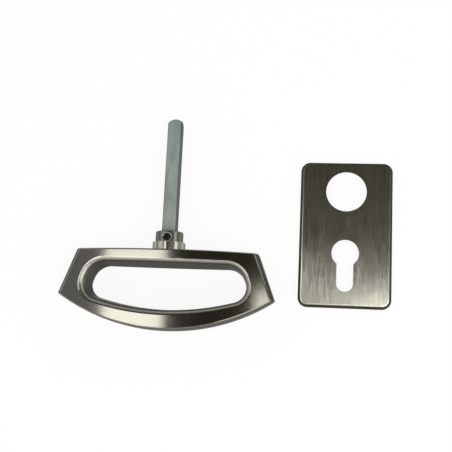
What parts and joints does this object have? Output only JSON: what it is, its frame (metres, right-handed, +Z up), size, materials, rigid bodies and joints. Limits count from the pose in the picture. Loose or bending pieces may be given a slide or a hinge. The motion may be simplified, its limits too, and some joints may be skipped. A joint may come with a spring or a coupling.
{
  "type": "garage door handle",
  "caption": "Loop-grip garage door handle with a stepped hub and square spindle, lying beside its flat cover plate with a round hole and a lock-cylinder cut-out.",
  "frame": {"origin": "middle of the set's outline on the surface that it lies on", "axes": "+Y along the spindle towards its free end, +Z up off the surface, +X from the handle towards the cover plate"},
  "size_m": [0.2118, 0.1393, 0.026],
  "materials": {
    "grip_casting": "satin brushed, stainless look",
    "spindle_steel": "dull zinc plated",
    "screw_steel": "blackened",
    "plate_sheet": "fine brushed"
  },
  "bodies": {
    "root": {"grip": "grip_casting", "spindle": "spindle_steel", "grub_screw": "screw_steel", "cover_plate": "plate_sheet"}
  },
  "joints": []
}
